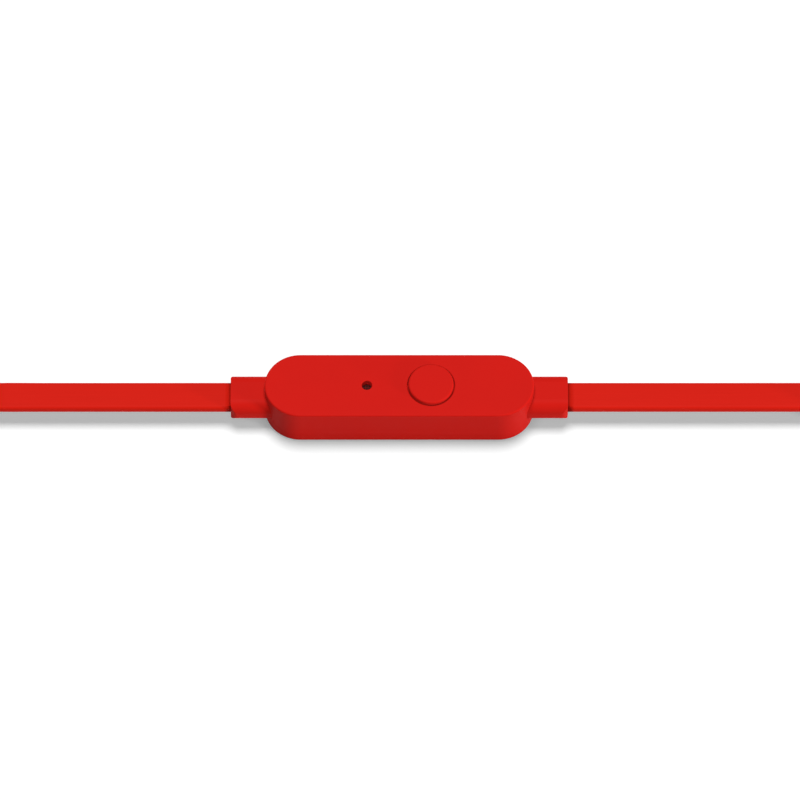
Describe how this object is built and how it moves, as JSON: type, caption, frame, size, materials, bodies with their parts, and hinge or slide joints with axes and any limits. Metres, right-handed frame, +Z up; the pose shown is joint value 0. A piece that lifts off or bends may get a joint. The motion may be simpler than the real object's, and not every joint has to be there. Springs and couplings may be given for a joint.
{
  "type": "wired in-ear earphones",
  "caption": "Wired in-ear earphones on a flat cord with a pill-shaped in-line remote, a cord splitter and a jack plug, the cord folded into two tied hanks.",
  "frame": {"origin": "middle of the remote's flat underside, on the surface that the earphones lie on", "axes": "+X along the cord from the remote to the earbuds, +Z up through the remote's button"},
  "size_m": [0.2576, 0.0253, 0.0203],
  "materials": {
    "red_shell": "satin moulded, saturated red",
    "red_cord": "smooth flat thermoplastic elastomer, red",
    "red_relief": "soft moulded elastomer, red",
    "charcoal_silicone": "soft matte silicone, charcoal",
    "elastic_tie": "matte elastic band",
    "black_plastic": "satin black",
    "circuit_board": "green solder mask",
    "switch_metal": "stamped sheet",
    "dust_mesh": "fine woven acoustic cloth, dark red",
    "wire_insulation": "enamelled litz wire",
    "jack_metal": "bright nickel plate",
    "jack_black": "black insulating bands",
    "magnet": "nickel-plated magnet",
    "diaphragm_film": "thin translucent film",
    "nozzle_grille": "fine woven steel mesh"
  },
  "bodies": {
    "root": {"remote_top_shell": "red_shell", "remote_bottom_cover": "red_shell", "splitter_shell": "red_shell", "splitter_cover": "red_shell", "plug_body": "red_shell", "remote_circuit_board": "circuit_board", "switch_body": "switch_metal", "microphone_capsule": "switch_metal", "microphone_gasket": "charcoal_silicone", "microphone_mesh": "dust_mesh", "remote_relief_left": "red_relief", "remote_relief_right": "red_relief", "plug_relief_collar": "red_relief", "remote_wires": "wire_insulation", "upper_cord": "red_cord", "main_cord_lead": "red_cord", "main_hank_lower": "red_cord", "main_hank_upper": "red_cord", "plug_cord_lead": "red_cord", "left_branch_lead": "red_cord", "left_branch_hank": "red_cord", "left_bud_lead": "red_cord", "right_branch_lead": "red_cord", "right_branch_hank": "red_cord", "right_bud_lead": "red_cord", "main_hank_ties": "elastic_tie", "branch_hank_ties": "elastic_tie", "jack_sleeve": "jack_metal", "jack_ring_rear": "jack_metal", "jack_ring_front": "jack_metal", "jack_tip": "jack_metal", "jack_insulators": "jack_black", "left_back_cap": "red_shell", "left_barrel": "red_shell", "left_front": "red_shell", "left_bud_relief": "red_relief", "left_driver_frame": "black_plastic", "left_driver_magnet": "magnet", "left_diaphragm": "diaphragm_film", "left_nozzle_mesh": "nozzle_grille", "right_back_cap": "red_shell", "right_barrel": "red_shell", "right_front": "red_shell", "right_bud_relief": "red_relief", "right_driver_frame": "black_plastic", "right_driver_magnet": "magnet", "right_diaphragm": "diaphragm_film", "right_nozzle_mesh": "nozzle_grille"},
    "button": {"remote_button": "red_shell", "switch_plunger": "black_plastic"},
    "left_tip": {"left_ear_tip": "charcoal_silicone"},
    "right_tip": {"right_ear_tip": "charcoal_silicone"}
  },
  "joints": [
    {"name": "button_press", "type": "slide", "parent": "root", "child": "button", "axis": [0, 0, -1], "range_m": [0, 0.0003], "stiffness_N_per_m": 5000},
    {"name": "left_tip_pull", "type": "slide", "parent": "root", "child": "left_tip", "axis": [0, 0, 1], "range_m": [0, 0.007]},
    {"name": "right_tip_pull", "type": "slide", "parent": "root", "child": "right_tip", "axis": [0, 0, 1], "range_m": [0, 0.007]}
  ]
}
